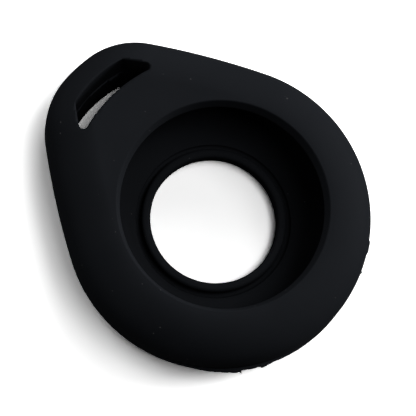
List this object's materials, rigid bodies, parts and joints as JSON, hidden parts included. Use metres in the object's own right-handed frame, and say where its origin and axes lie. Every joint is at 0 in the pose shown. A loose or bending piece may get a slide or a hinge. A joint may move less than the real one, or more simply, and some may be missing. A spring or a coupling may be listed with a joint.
{
  "type": "key fob cover",
  "caption": "Teardrop silicone cover for a round key fob, with an undercut pocket, a wide front mouth, a beaded back hole and a key ring slot in its tip.",
  "frame": {"origin": "middle of the length and width, on the flat back face that the cover rests on", "axes": "+Z out of the open front, +Y towards the tip with the key ring slot, +X to the right seen from the front"},
  "size_m": [0.0416, 0.0488, 0.012],
  "materials": {
    "black_silicone": "matte"
  },
  "bodies": {
    "root": {"silicone_cover": "black_silicone"}
  },
  "joints": []
}
